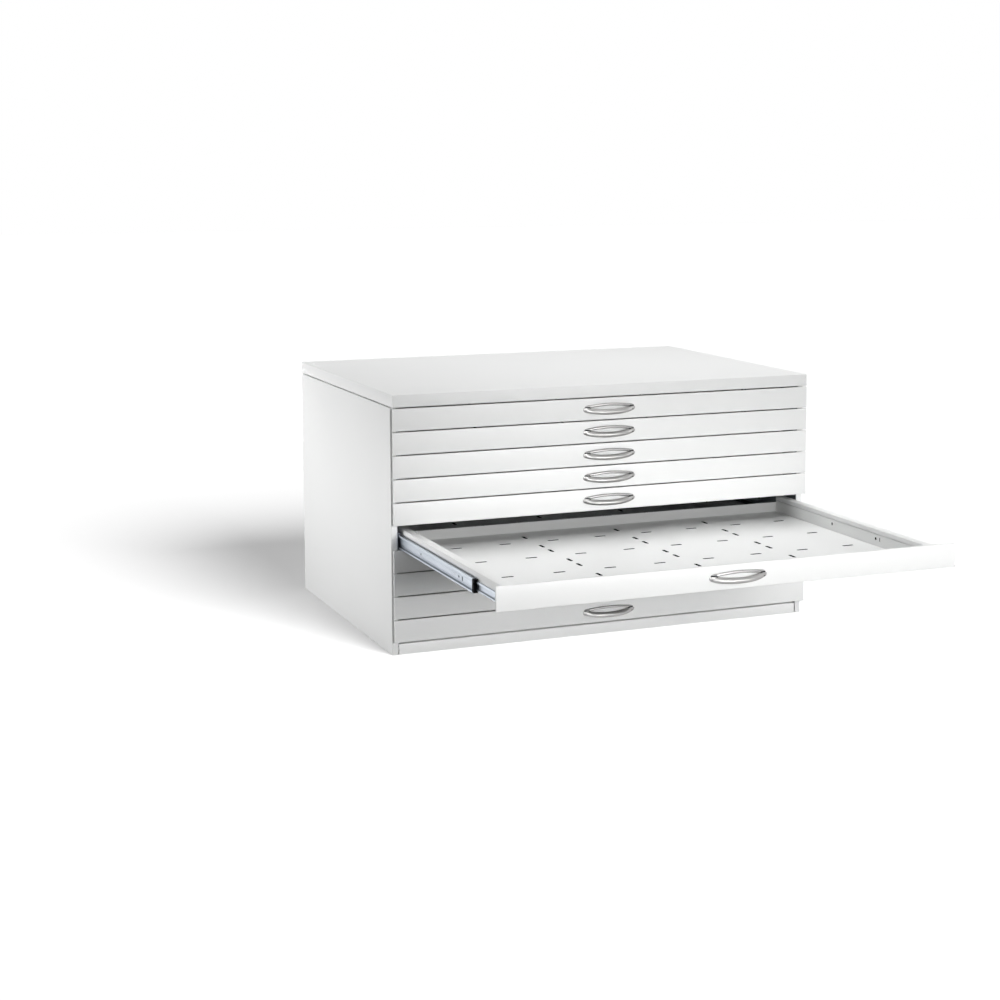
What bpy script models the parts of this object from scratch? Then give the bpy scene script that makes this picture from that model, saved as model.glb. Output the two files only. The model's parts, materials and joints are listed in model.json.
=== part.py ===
"""A flat file cabinet of folded and powder-coated sheet steel, with ten shallow drawers for large sheets.

Run it with: blender --background --python part.py

The origin is on the floor, under the centre of the closed body. +X is to the right, +Y goes into the cabinet,
+Z is up. The drawers run out towards -Y. The sixth drawer from the top stands open, as in use.
"""

import math

import bmesh
import bpy

MM = 0.001

# Drawers
OPEN_DRAWER = 6
FRONT_HEIGHT = 65 * MM
FRONT_THICKNESS = 20 * MM
FRONT_EDGE = 1.2 * MM
FRONT_RIM = 12 * MM
REVEAL = 3.2 * MM

# Closed body
WIDTH = 1350 * MM
DEPTH = 960 * MM
HEIGHT = 760 * MM
TOP_DEPTH = 36 * MM
TOP_FLANGE = 24 * MM
LEAST_PLINTH = 30 * MM
PLINTH_RETURN = 20 * MM
PLINTH_TOP_SETBACK = 32 * MM

# Sheet, and the clearances between neighbours
BODY_SHEET = 1.5 * MM
TRAY_SHEET = 1 * MM
SEAT = 0.3 * MM
OVERRUN = 5 * MM

# Sides, with a set-in neck that carries the top
SIDE_THICKNESS = 18 * MM
FRONT_GAP = 4 * MM
NECK_INSET = 4 * MM
NECK_DEPTH = 9 * MM

# Back, base and the channel under it
BACK_DEPTH = 15 * MM
BACK_RECESS = 1 * MM
BASE_DROP = 17 * MM
BASE_LIP = 14 * MM
CHANNEL_WIDTH = 80 * MM
CHANNEL_FLANGE = 18 * MM
CHANNEL_END_GAP = 20 * MM

# Three-part slides
INNER_HEIGHT = 26 * MM
INNER_SHEET = 1.8 * MM
MIDDLE_LIP = 6 * MM
MIDDLE_WEB = 1.5 * MM
MIDDLE_DEPTH = 11 * MM
OUTER_LIP = 3 * MM
OUTER_WEB = 1.8 * MM
OUTER_DEPTH = 10.5 * MM
BALL_CLEARANCE = 0.6 * MM
WEB_CLEARANCE = 0.8 * MM
TRAY_CLEARANCE = 1.6 * MM
SLIDE_SETBACK = 4 * MM
OUTER_REAR_GAP = 20 * MM
MIDDLE_REAR_GAP = 25 * MM
INNER_REAR_GAP = 20 * MM
OPEN_OVERLAP = 41 * MM
SLIDE_RATIO = 0.76
JOIN = 0.2 * MM
WELD = 0.01 * MM

# The plate that carries a side's ten outer members
PLATE_SHEET = 1.5 * MM
PLATE_EDGE = 6 * MM

# Trays, with heights above the middle of the gap under the drawer's front
TRAY_FLOOR = 5 * MM
TRAY_HEIGHT = 54 * MM
TRAY_REAR_GAP = 54 * MM
RAIL_WIDTH = 25 * MM
RAIL_LIP = 13 * MM
LINER_HEIGHT = 39 * MM
END_HEIGHT = 35 * MM
SLIDE_CENTRE = 19 * MM

# Slots in a tray's floor, for dividers: rows across, and pairs between them that run from front to back
SLOT_LENGTH = 36 * MM
SLOT_WIDTH = 5 * MM
SLOT_STEP = 148 * MM
ROW_STEP = 206 * MM
PAIR_OFFSET = 68 * MM
SLOT_MARGIN = 40 * MM
ROW_MARGIN = 20 * MM

# Handles
HANDLE_LENGTH = 168 * MM
HANDLE_HEIGHT = 31 * MM
HANDLE_END = 12 * MM
HANDLE_THICKNESS = 3.5 * MM
HANDLE_REACH = 19 * MM
HANDLE_RIM_REACH = 9 * MM
HANDLE_FOOT = 9 * MM
EYE_HEIGHT = 10 * MM
EYE_END = 1.5 * MM
EYE_RISE = 4.5 * MM
EYE_END_GAP = 16 * MM
HANDLE_STATIONS = 16
HANDLE_ROWS = 3
HANDLE_BOW = 3.2

# Sizes that follow
PITCH = FRONT_HEIGHT + REVEAL
BODY_TOP = HEIGHT - TOP_DEPTH - REVEAL
DRAWERS = int((BODY_TOP - LEAST_PLINTH) / PITCH)
PLINTH_HEIGHT = BODY_TOP - DRAWERS * PITCH
FRONT_FACE = -DEPTH / 2
BODY_FACE = FRONT_FACE + FRONT_THICKNESS + FRONT_GAP
BACK_FACE = DEPTH / 2 - BACK_RECESS - BACK_DEPTH
INSIDE_WIDTH = WIDTH - 2 * SIDE_THICKNESS
BASE_HEIGHT = PLINTH_HEIGHT - BASE_DROP
BASE_FRONT = BODY_FACE + PLINTH_RETURN + SEAT

MIDDLE_HEIGHT = INNER_HEIGHT + 2 * BALL_CLEARANCE + 2 * MIDDLE_LIP
OUTER_HEIGHT = MIDDLE_HEIGHT + 2 * BALL_CLEARANCE + 2 * OUTER_LIP
PLATE_FACE = INSIDE_WIDTH / 2 - SEAT - PLATE_SHEET
OUTER_WEB_FACE = PLATE_FACE - OUTER_WEB
MIDDLE_WEB_FACE = OUTER_WEB_FACE - WEB_CLEARANCE
TRAY_HALF = MIDDLE_WEB_FACE - MIDDLE_DEPTH - TRAY_CLEARANCE
INNER_DEPTH = MIDDLE_WEB_FACE - MIDDLE_WEB - WEB_CLEARANCE - TRAY_HALF
SLIDE_FRONT = BODY_FACE + SLIDE_SETBACK
OUTER_LENGTH = BACK_FACE - OUTER_REAR_GAP - SLIDE_FRONT
MIDDLE_LENGTH = OUTER_LENGTH - MIDDLE_REAR_GAP
INNER_LENGTH = MIDDLE_LENGTH - INNER_REAR_GAP
OPENING = INNER_LENGTH - OPEN_OVERLAP

TRAY_START = FRONT_THICKNESS + SEAT
TRAY_END = BACK_FACE - TRAY_REAR_GAP - FRONT_FACE
RAIL_FACE = TRAY_HALF - RAIL_WIDTH

COLOURS = {
    "white_coating": ((0.84, 0.85, 0.85, 1), 0.45, 0.0),
    "grey_coating": ((0.62, 0.64, 0.66, 1), 0.5, 0.0),
    "zinc_steel": ((0.60, 0.64, 0.70, 1), 0.3, 1.0),
    "silver_handle": ((0.50, 0.50, 0.49, 1), 0.35, 0.6),
}


def clear_scene():
    for obj in list(bpy.data.objects):
        bpy.data.objects.remove(obj)


def collection(name):
    made = bpy.data.collections.new(name)
    bpy.context.scene.collection.children.link(made)
    return made


def material(name):
    made = bpy.data.materials.get(name)
    if made:
        return made
    colour, roughness, metallic = COLOURS[name]
    made = bpy.data.materials.new(name)
    made.use_nodes = True
    shader = made.node_tree.nodes["Principled BSDF"]
    shader.inputs["Base Color"].default_value = colour
    shader.inputs["Roughness"].default_value = roughness
    shader.inputs["Metallic"].default_value = metallic
    return made


def block(low, high):
    """A box between two corners, as a mesh object whose origin is its middle."""
    mesh = bpy.data.meshes.new("block")
    shape = bmesh.new()
    bmesh.ops.create_cube(shape, size=1)
    bmesh.ops.scale(shape, vec=[b - a for a, b in zip(low, high)], verts=shape.verts)
    shape.to_mesh(mesh)
    shape.free()
    obj = bpy.data.objects.new("block", mesh)
    obj.location = [(a + b) / 2 for a, b in zip(low, high)]
    PARTS.objects.link(obj)
    return obj


def mirrored_block(low, high, side):
    """The same box on the right for side 1, or on the left for side -1."""
    ends = sorted((side * low[0], side * high[0]))
    return block((ends[0], low[1], low[2]), (ends[1], high[1], high[2]))


def modified(obj):
    """The object with its modifiers applied."""
    bpy.context.view_layer.update()
    graph = bpy.context.evaluated_depsgraph_get()
    mesh = bpy.data.meshes.new_from_object(obj.evaluated_get(graph))
    obj.modifiers.clear()
    obj.data = mesh
    return obj


def combine(obj, others, operation):
    """Joins the others to the object, or cuts them from it, and removes them."""
    for other in others:
        modifier = obj.modifiers.new(operation.lower(), "BOOLEAN")
        modifier.operation = operation
        modifier.solver = "EXACT"
        modifier.object = other
    modified(obj)
    for other in others:
        bpy.data.objects.remove(other)
    return obj


def joined(first, *others):
    return combine(first, others, "UNION")


def cut(first, *others):
    return combine(first, others, "DIFFERENCE")


def shared_cutter(boxes):
    """One mesh object that holds many boxes which don't touch."""
    mesh = bpy.data.meshes.new("slots")
    shape = bmesh.new()
    for low, high in boxes:
        made = bmesh.ops.create_cube(shape, size=1)["verts"]
        bmesh.ops.scale(shape, vec=[b - a for a, b in zip(low, high)], verts=made)
        bmesh.ops.translate(shape, vec=[(a + b) / 2 for a, b in zip(low, high)], verts=made)
    shape.to_mesh(mesh)
    shape.free()
    obj = bpy.data.objects.new("slots", mesh)
    PARTS.objects.link(obj)
    return obj


def at_origin(obj):
    """Moves the object's place into its mesh, so that the mesh can be shared."""
    obj.data.transform(obj.matrix_basis)
    obj.matrix_basis.identity()
    return obj


def piece(obj, name, finish):
    """Names a finished piece and gives it its coating."""
    obj.name = name
    obj.data.name = name
    obj.data.materials.clear()
    obj.data.materials.append(material(finish))


def copy_of(obj, name, parent):
    made = bpy.data.objects.new(name, obj.data)
    made.location = obj.location
    made.rotation_euler = obj.rotation_euler
    made.parent = parent
    PARTS.objects.link(made)
    return made


def bevel(obj, width):
    modifier = obj.modifiers.new("edges", "BEVEL")
    modifier.width = width
    modifier.segments = 1
    modifier.limit_method = "ANGLE"
    return modified(obj)


def drawer_base(number):
    """Height of the middle of the gap under a drawer's front."""
    return BODY_TOP + REVEAL / 2 - number * PITCH


def drawer_opening(number):
    return OPENING if number == OPEN_DRAWER else 0


def make_top():
    half, back = WIDTH / 2, DEPTH / 2
    low = HEIGHT - TOP_DEPTH
    shell = block((-half, -back, low), (half, back, HEIGHT))
    hollow = block(
        (-half + BODY_SHEET, -back + BODY_SHEET, low + BODY_SHEET),
        (half - BODY_SHEET, back - BODY_SHEET, HEIGHT - BODY_SHEET),
    )
    mouth = block(
        (-half + TOP_FLANGE, -back + TOP_FLANGE, low - OVERRUN),
        (half - TOP_FLANGE, back - TOP_FLANGE, low + BODY_SHEET + OVERRUN),
    )
    piece(cut(shell, joined(hollow, mouth)), "top_panel", "white_coating")


def make_side(side, name):
    """A folded side, open on its inner face, with a set-in neck that carries the top."""
    outer, inner = WIDTH / 2, INSIDE_WIDTH / 2
    back = DEPTH / 2
    shell = mirrored_block((inner, BODY_FACE, 0), (outer, back, BODY_TOP), side)
    hollow = mirrored_block(
        (inner - OVERRUN, BODY_FACE + BODY_SHEET, BODY_SHEET),
        (outer - BODY_SHEET, back - BODY_SHEET, BODY_TOP - BODY_SHEET),
        side,
    )
    neck = mirrored_block(
        (outer - NECK_INSET - NECK_DEPTH, BODY_FACE + NECK_INSET, BODY_TOP - BODY_SHEET),
        (outer - NECK_INSET, back - NECK_INSET, HEIGHT - TOP_DEPTH - SEAT),
        side,
    )
    piece(joined(cut(shell, hollow), neck), name, "white_coating")


def make_back():
    half = INSIDE_WIDTH / 2 - SEAT
    outer = BACK_FACE + BACK_DEPTH
    shell = block((-half, BACK_FACE, SEAT), (half, outer, BODY_TOP))
    hollow = block(
        (-half + BODY_SHEET, BACK_FACE - OVERRUN, SEAT + BODY_SHEET),
        (half - BODY_SHEET, outer - BODY_SHEET, BODY_TOP - BODY_SHEET),
    )
    piece(cut(shell, hollow), "back_panel", "white_coating")


def make_base():
    """The bottom sheet, a pan with its edges folded down, between the plinth and the back."""
    half = INSIDE_WIDTH / 2 - SEAT
    back = BACK_FACE - SEAT
    shell = block((-half, BASE_FRONT, BASE_HEIGHT - BASE_LIP), (half, back, BASE_HEIGHT))
    hollow = block(
        (-half + BODY_SHEET, BASE_FRONT + BODY_SHEET, BASE_HEIGHT - BASE_LIP - OVERRUN),
        (half - BODY_SHEET, back - BODY_SHEET, BASE_HEIGHT - BODY_SHEET),
    )
    piece(cut(shell, hollow), "base_panel", "white_coating")


def make_base_channel():
    """A hat channel under the base sheet. Its web stands on the floor."""
    half = CHANNEL_WIDTH / 2
    front, back = BASE_FRONT + CHANNEL_END_GAP, BACK_FACE - CHANNEL_END_GAP
    high = BASE_HEIGHT - BODY_SHEET - SEAT
    web = block((-half, front, 0), (half, back, high))
    flanges = block(
        (-half - CHANNEL_FLANGE, front, high - BODY_SHEET), (half + CHANNEL_FLANGE, back, high)
    )
    hollow = block(
        (-half + BODY_SHEET, front - OVERRUN, BODY_SHEET), (half - BODY_SHEET, back + OVERRUN, high + OVERRUN)
    )
    piece(cut(joined(web, flanges), hollow), "base_channel", "grey_coating")


def make_plinth():
    half = INSIDE_WIDTH / 2 - SEAT
    top_half = INSIDE_WIDTH / 2 - PLINTH_TOP_SETBACK
    back = BODY_FACE + PLINTH_RETURN
    board = block((-half, BODY_FACE, 0), (half, BODY_FACE + BODY_SHEET, PLINTH_HEIGHT))
    foot = block((-half, BODY_FACE, 0), (half, back, BODY_SHEET))
    rest = block((-top_half, BODY_FACE, PLINTH_HEIGHT - BODY_SHEET), (top_half, back, PLINTH_HEIGHT))
    piece(joined(board, foot, rest), "plinth", "white_coating")


def make_runner_plate(side, name):
    """The inner sheet of a side, with the outer members of its slides."""
    bottom, top = BASE_HEIGHT + SEAT, BODY_TOP - PLATE_EDGE
    front, back = BODY_FACE + BODY_SHEET, BACK_FACE - SEAT
    plate = mirrored_block((PLATE_FACE, front, bottom), (PLATE_FACE + PLATE_SHEET, back, top), side)
    rear = SLIDE_FRONT + OUTER_LENGTH
    members = []
    for number in range(1, DRAWERS + 1):
        middle = drawer_base(number) + SLIDE_CENTRE
        low, high = middle - OUTER_HEIGHT / 2, middle + OUTER_HEIGHT / 2
        mouth = PLATE_FACE - OUTER_DEPTH
        member = mirrored_block((mouth, SLIDE_FRONT, low), (PLATE_FACE + JOIN, rear, high), side)
        bore = mirrored_block(
            (mouth - OVERRUN, SLIDE_FRONT - OVERRUN, low + OUTER_LIP),
            (OUTER_WEB_FACE, rear + OVERRUN, high - OUTER_LIP),
            side,
        )
        members.append(cut(member, bore))
    piece(joined(plate, *members), name, "zinc_steel")


def flat_outline(points, thickness):
    """A plate with a closed outline of points in X and Z. Its middle lies at y = 0."""
    curve = bpy.data.curves.new("outline", "CURVE")
    curve.dimensions = "2D"
    curve.fill_mode = "BOTH"
    curve.extrude = thickness / 2
    spline = curve.splines.new("POLY")
    spline.points.add(len(points) - 1)
    for target, (x, z) in zip(spline.points, points):
        target.co = (x, z, 0, 1)
    spline.use_cyclic_u = True
    guide = bpy.data.objects.new("outline", curve)
    PARTS.objects.link(guide)
    guide.rotation_euler.x = math.pi / 2
    bpy.context.view_layer.update()
    graph = bpy.context.evaluated_depsgraph_get()
    mesh = bpy.data.meshes.new_from_object(guide.evaluated_get(graph))
    mesh.transform(guide.matrix_world)
    bpy.data.objects.remove(guide)
    obj = bpy.data.objects.new("outline", mesh)
    PARTS.objects.link(obj)
    return weld(obj)


def weld(obj):
    shape = bmesh.new()
    shape.from_mesh(obj.data)
    bmesh.ops.remove_doubles(shape, verts=shape.verts, dist=WELD)
    bmesh.ops.recalc_face_normals(shape, faces=shape.faces)
    shape.to_mesh(obj.data)
    shape.free()
    return obj


def tray_half_section():
    """The right half of a tray's section, as a band of sheet: floor, outer skin, rail, and the liner inside."""
    sheet = TRAY_SHEET
    skin, under = TRAY_HALF - sheet, TRAY_FLOOR - sheet
    liner = RAIL_FACE + sheet
    lip = TRAY_HEIGHT - RAIL_LIP
    return [
        (TRAY_HALF, under),
        (TRAY_HALF, TRAY_HEIGHT),
        (RAIL_FACE, TRAY_HEIGHT),
        (RAIL_FACE, lip),
        (liner, lip),
        (liner, TRAY_HEIGHT - sheet),
        (skin, TRAY_HEIGHT - sheet),
        (skin, TRAY_FLOOR),
        (liner, TRAY_FLOOR),
        (liner, LINER_HEIGHT),
        (RAIL_FACE, LINER_HEIGHT),
        (RAIL_FACE, TRAY_FLOOR),
    ]


def places(room, step):
    """The places of as many copies as fit in the room, centred on zero."""
    count = int(room / step) + 1
    return [(index - (count - 1) / 2) * step for index in range(count)]


def slot_box(x, y, across, along):
    return (
        (x - across / 2, y - along / 2, TRAY_FLOOR - TRAY_SHEET - OVERRUN),
        (x + across / 2, y + along / 2, TRAY_FLOOR + OVERRUN),
    )


def slot_boxes():
    """The slots of a tray's floor, as boxes."""
    width, depth = 2 * RAIL_FACE, TRAY_END - TRAY_START
    pair_room = 2 * PAIR_OFFSET + SLOT_LENGTH
    boxes = []
    across = places(width - SLOT_LENGTH - 2 * SLOT_MARGIN, SLOT_STEP)
    between = [(left + right) / 2 for left, right in zip(across, across[1:])]
    for row in places(depth - pair_room - 2 * ROW_MARGIN, ROW_STEP):
        y = (TRAY_START + TRAY_END) / 2 + row
        for x in across:
            boxes.append(slot_box(x, y, SLOT_LENGTH, SLOT_WIDTH))
        for x in between[1::2]:
            boxes.append(slot_box(x, y - PAIR_OFFSET, SLOT_WIDTH, SLOT_LENGTH))
            boxes.append(slot_box(x, y + PAIR_OFFSET, SLOT_WIDTH, SLOT_LENGTH))
    return boxes


def make_inner_member(side):
    low, high = SLIDE_CENTRE - INNER_HEIGHT / 2, SLIDE_CENTRE + INNER_HEIGHT / 2
    start = SLIDE_FRONT - FRONT_FACE
    rear = start + INNER_LENGTH
    mouth = TRAY_HALF + INNER_DEPTH
    member = mirrored_block((TRAY_HALF - JOIN, start, low), (mouth, rear, high), side)
    bore = mirrored_block(
        (TRAY_HALF + INNER_SHEET, start - OVERRUN, low + INNER_SHEET),
        (mouth + OVERRUN, rear + OVERRUN, high - INNER_SHEET),
        side,
    )
    return cut(member, bore)


def make_tray(slots):
    """One tray with the inner members of its slides, at its place behind a front whose face is at y = 0."""
    right = tray_half_section()
    left = [(-x, z) for x, z in reversed(right)]
    tray = flat_outline(right + left, TRAY_END - TRAY_START)
    tray.location.y = (TRAY_START + TRAY_END) / 2
    if slots:
        cut(tray, shared_cutter(slots))
    ends = []
    for y, height in ((TRAY_START, TRAY_HEIGHT - TRAY_SHEET / 2), (TRAY_END - TRAY_SHEET, END_HEIGHT)):
        half = TRAY_HALF - TRAY_SHEET / 2
        low = TRAY_FLOOR - TRAY_SHEET / 2
        ends.append(block((-half, y, low), (half, y + TRAY_SHEET, height)))
    return at_origin(joined(tray, *ends, make_inner_member(-1), make_inner_member(1)))


def make_front():
    """A folded pan with its face at y = 0. The tray's front wall closes its mouth."""
    half, top = WIDTH / 2, REVEAL / 2 + FRONT_HEIGHT
    low = REVEAL / 2
    face = bevel(block((-half, 0, low), (half, FRONT_THICKNESS, top)), FRONT_EDGE)
    hollow = block(
        (-half + BODY_SHEET, BODY_SHEET, low + BODY_SHEET),
        (half - BODY_SHEET, FRONT_THICKNESS - BODY_SHEET, top - BODY_SHEET),
    )
    mouth = block(
        (-RAIL_FACE, FRONT_THICKNESS - BODY_SHEET - OVERRUN, low + FRONT_RIM),
        (RAIL_FACE, FRONT_THICKNESS + OVERRUN, top - 2 * FRONT_RIM),
    )
    return at_origin(cut(face, joined(hollow, mouth)))


def make_middle_member(side):
    """The middle member of one slide, a channel that opens towards the tray."""
    low, high = SLIDE_CENTRE - MIDDLE_HEIGHT / 2, SLIDE_CENTRE + MIDDLE_HEIGHT / 2
    start = SLIDE_FRONT - FRONT_FACE
    rear = start + MIDDLE_LENGTH
    mouth = MIDDLE_WEB_FACE - MIDDLE_DEPTH
    member = mirrored_block((mouth, start, low), (MIDDLE_WEB_FACE, rear, high), side)
    bore = mirrored_block(
        (mouth - OVERRUN, start - OVERRUN, low + MIDDLE_LIP),
        (MIDDLE_WEB_FACE - MIDDLE_WEB, rear + OVERRUN, high - MIDDLE_LIP),
        side,
    )
    return at_origin(cut(member, bore))


def almond(length, middle, end, rise):
    """A closed outline in X and Z, highest in its middle, with short upright ends. Its lower side comes first."""
    steps = [2 * index / HANDLE_STATIONS - 1 for index in range(HANDLE_STATIONS + 1)]
    lower = []
    upper = []
    for step in steps:
        half = (end + (middle - end) * (1 - step**2)) / 2
        lower.append((step * length / 2, rise - half))
        upper.append((step * length / 2, rise + half))
    return lower + upper[::-1]


def handle_reach(x, z):
    """How far the grip stands off the front: least at its ends, and less along its upper rim."""
    along = min(1, abs(x) / (HANDLE_LENGTH / 2 - HANDLE_FOOT))
    bow = 1 - along**HANDLE_BOW
    rise = min(1, max(0, (z + HANDLE_HEIGHT / 4) / (HANDLE_HEIGHT / 2)))
    full = HANDLE_REACH + (HANDLE_RIM_REACH - HANDLE_REACH) * rise
    return (full - HANDLE_THICKNESS) * bow


def make_handle():
    """An almond-shaped ring bowed off the front: a broad grip below, a thin rim above, an eye between."""
    edge = almond(HANDLE_LENGTH, HANDLE_HEIGHT, HANDLE_END, 0)
    eye = almond(HANDLE_LENGTH - 2 * EYE_END_GAP, EYE_HEIGHT, EYE_END, EYE_RISE)
    inward = [row / HANDLE_ROWS for row in range(HANDLE_ROWS + 1)]
    shape = bmesh.new()
    rings = []
    for thickness, shares in ((0, inward), (HANDLE_THICKNESS, inward[::-1])):
        for share in shares:
            ring = []
            for (edge_x, edge_z), (eye_x, eye_z) in zip(edge, eye):
                x = edge_x + (eye_x - edge_x) * share
                z = edge_z + (eye_z - edge_z) * share
                y = -SEAT - handle_reach(x, z) - thickness
                ring.append(shape.verts.new((x, y, z + REVEAL / 2 + FRONT_HEIGHT / 2)))
            rings.append(ring)
    for ring, following in zip(rings, rings[1:] + rings[:1]):
        for index in range(len(edge)):
            shape.faces.new((ring[index - 1], ring[index], following[index], following[index - 1]))
    bmesh.ops.recalc_face_normals(shape, faces=shape.faces)
    mesh = bpy.data.meshes.new("handle")
    shape.to_mesh(mesh)
    shape.free()
    obj = bpy.data.objects.new("handle", mesh)
    PARTS.objects.link(obj)
    return obj


def frame_at(name, y, z):
    """An empty that stands for one sliding unit. Its joint's axis runs through it, along Y."""
    made = bpy.data.objects.new(name, None)
    made.location = (0, y, z)
    PARTS.objects.link(made)
    return made


def make_drawers():
    tray, front, handle = make_tray([]), make_front(), make_handle()
    slotted = make_tray(slot_boxes())
    middle = {side: make_middle_member(side) for side in (-1, 1)}
    piece(tray, "tray", "white_coating")
    piece(slotted, "slotted", "white_coating")
    piece(front, "front", "white_coating")
    piece(handle, "handle", "silver_handle")
    for member in middle.values():
        piece(member, "middle", "zinc_steel")
    for number in range(1, DRAWERS + 1):
        opening = drawer_opening(number)
        unit = frame_at(f"drawer_unit_{number:02d}", FRONT_FACE - opening, drawer_base(number))
        copy_of(slotted if number == OPEN_DRAWER else tray, f"tray_{number:02d}", unit)
        copy_of(front, f"front_{number:02d}", unit)
        copy_of(handle, f"handle_{number:02d}", unit)
        slide = frame_at(f"slide_unit_{number:02d}", FRONT_FACE - SLIDE_RATIO * opening, drawer_base(number))
        copy_of(middle[-1], f"left_slide_{number:02d}", slide)
        copy_of(middle[1], f"right_slide_{number:02d}", slide)
    for pattern in (tray, slotted, front, handle, *middle.values()):
        bpy.data.objects.remove(pattern)


clear_scene()
PARTS = collection("flat_file_cabinet")
make_top()
make_side(-1, "left_side_panel")
make_side(1, "right_side_panel")
make_back()
make_base()
make_base_channel()
make_plinth()
make_runner_plate(-1, "left_runner_plate")
make_runner_plate(1, "right_runner_plate")
make_drawers()
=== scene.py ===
"""A flat file cabinet of folded, powder-coated sheet steel, with ten shallow drawers on three-part slides.

Sizes are in metres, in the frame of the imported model: +X to the right, +Y into the cabinet, +Z up. The
cabinet is put together here from the outside in: lid, sides, back, base and plinth, then the slides,
trays, fronts and handles, and last the studio that it stands in.
"""

import json
import math

import bmesh
import bpy
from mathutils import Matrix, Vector

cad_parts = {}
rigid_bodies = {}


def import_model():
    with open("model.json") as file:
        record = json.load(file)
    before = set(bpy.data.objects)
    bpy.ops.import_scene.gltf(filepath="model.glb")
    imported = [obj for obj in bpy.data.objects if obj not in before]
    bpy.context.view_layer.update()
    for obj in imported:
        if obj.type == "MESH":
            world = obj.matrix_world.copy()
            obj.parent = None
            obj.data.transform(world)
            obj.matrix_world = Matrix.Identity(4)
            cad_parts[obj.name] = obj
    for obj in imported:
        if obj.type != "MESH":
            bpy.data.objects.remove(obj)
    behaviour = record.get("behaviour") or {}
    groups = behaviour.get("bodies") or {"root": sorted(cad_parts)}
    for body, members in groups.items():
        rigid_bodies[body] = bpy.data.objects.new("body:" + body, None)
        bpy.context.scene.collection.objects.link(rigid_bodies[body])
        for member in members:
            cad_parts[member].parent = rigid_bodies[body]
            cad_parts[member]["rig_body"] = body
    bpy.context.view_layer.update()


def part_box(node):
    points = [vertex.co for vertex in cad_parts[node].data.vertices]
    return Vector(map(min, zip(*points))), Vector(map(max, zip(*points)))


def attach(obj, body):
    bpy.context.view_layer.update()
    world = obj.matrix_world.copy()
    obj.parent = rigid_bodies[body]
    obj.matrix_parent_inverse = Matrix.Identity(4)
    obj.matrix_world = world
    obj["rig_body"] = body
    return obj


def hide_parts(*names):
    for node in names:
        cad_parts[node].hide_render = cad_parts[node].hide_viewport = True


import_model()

# Lid
# One sheet of steel, folded down on four sides and under at the rim, with its corners welded and ground
# round before it was powder coated. It is set down over the necks of the sides.

SHEET = 0.0015
LID_RIM = 0.024
LID_FOLD = 0.0022
SHARP = math.radians(38)
ALONG = 0.9  # a direction with more than this along an axis counts as parallel to it
TINY = 1e-5
COAT_COLOUR = (0.83, 0.835, 0.83)
COAT_SHADE = (0.80, 0.806, 0.802)
COAT_ROUGHNESS = 0.42
COAT_HAZE = 0.1
HAZE_SIZE = 0.03
DRIFT_SIZE = 0.35
DRIFT_SHARE = 0.7
PEEL_SIZE = 0.0016
PEEL_DEPTH = 0.00003
PEEL_STRENGTH = 0.35


class Wire:
    """A socket in a material. Sums can be written on it as on a number, and node() adds any other node."""

    def __init__(self, tree, socket=None):
        self.tree = tree
        self.socket = socket

    def node(self, kind, settings=None, sockets=None, output=0):
        made = self.tree.nodes.new("ShaderNode" + kind)
        for name, value in (settings or {}).items():
            setattr(made, name, value)
        for name, value in (sockets or {}).items():
            self.plug(made, name, value)
        return Wire(self.tree, self.named(made.outputs, output))

    def named(self, sockets, name):
        if isinstance(name, int):
            return sockets[name]
        return next(socket for socket in sockets if socket.name == name and socket.enabled)

    def plug(self, node, name, value):
        socket = self.named(node.inputs, name)
        if isinstance(value, Wire):
            self.tree.links.new(value.socket, socket)
        else:
            socket.default_value = value

    def maths(self, operation, *values):
        return self.node("Math", {"operation": operation}, dict(enumerate(values)))

    def __add__(self, other):
        return self.maths("ADD", self, other)

    def __mul__(self, other):
        return self.maths("MULTIPLY", self, other)

    __radd__ = __add__
    __rmul__ = __mul__

    def blended(self, other, share):
        """This value and another, mixed so that this one has the share."""
        return self * share + other * (1 - share)

    def around(self, middle, spread):
        """This value, which runs from 0 to 1, as one that varies by the spread about the middle."""
        return self * spread + (middle - spread / 2)

    def between(self, first, second):
        """A colour that goes from the first to the second as this value goes from 0 to 1."""
        sockets = {"Factor": self, "A": (*first, 1), "B": (*second, 1)}
        return self.node("Mix", {"data_type": "RGBA"}, sockets, "Result")

    def noise(self, size, detail=2.0, stretch=None):
        """A pattern on these coordinates, with lumps of about this size, longer where stretched."""
        place = self
        if stretch:
            scale = [1 / part for part in stretch]
            place = self.node("Mapping", None, {"Vector": self, "Scale": scale})
        return self.node("TexNoise", None, {"Vector": place, "Scale": 1 / size, "Detail": detail})

    def raised(self, strength, depth):
        """The surface's normal as if this value stood that far proud of it."""
        sockets = {"Height": self, "Strength": strength, "Distance": depth}
        return self.node("Bump", None, sockets, "Normal")


def finish(name, colour, roughness, metallic=0.0):
    """A new material with plain values, its shader, and a wire of the object's own coordinates."""
    material = bpy.data.materials.new(name)
    material.use_nodes = True
    shader = material.node_tree.nodes["Principled BSDF"]
    shader.inputs["Base Color"].default_value = (*colour, 1)
    shader.inputs["Roughness"].default_value = roughness
    shader.inputs["Metallic"].default_value = metallic
    return material, shader, Wire(material.node_tree).node("TexCoord", output="Object")


def powder_coat(name, colour, shade):
    """Coating with a fine orange peel, and a very slow drift in shade and gloss."""
    material, shader, place = finish(name, colour, COAT_ROUGHNESS)
    drift = place.noise(DRIFT_SIZE)
    haze = place.noise(HAZE_SIZE, detail=4.0)
    peel = place.noise(PEEL_SIZE, detail=1.0)
    place.plug(shader, "Base Color", drift.blended(haze, DRIFT_SHARE).between(shade, colour))
    place.plug(shader, "Roughness", haze.around(COAT_ROUGHNESS, COAT_HAZE))
    place.plug(shader, "Normal", peel.raised(PEEL_STRENGTH, PEEL_DEPTH))
    return material


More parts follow.
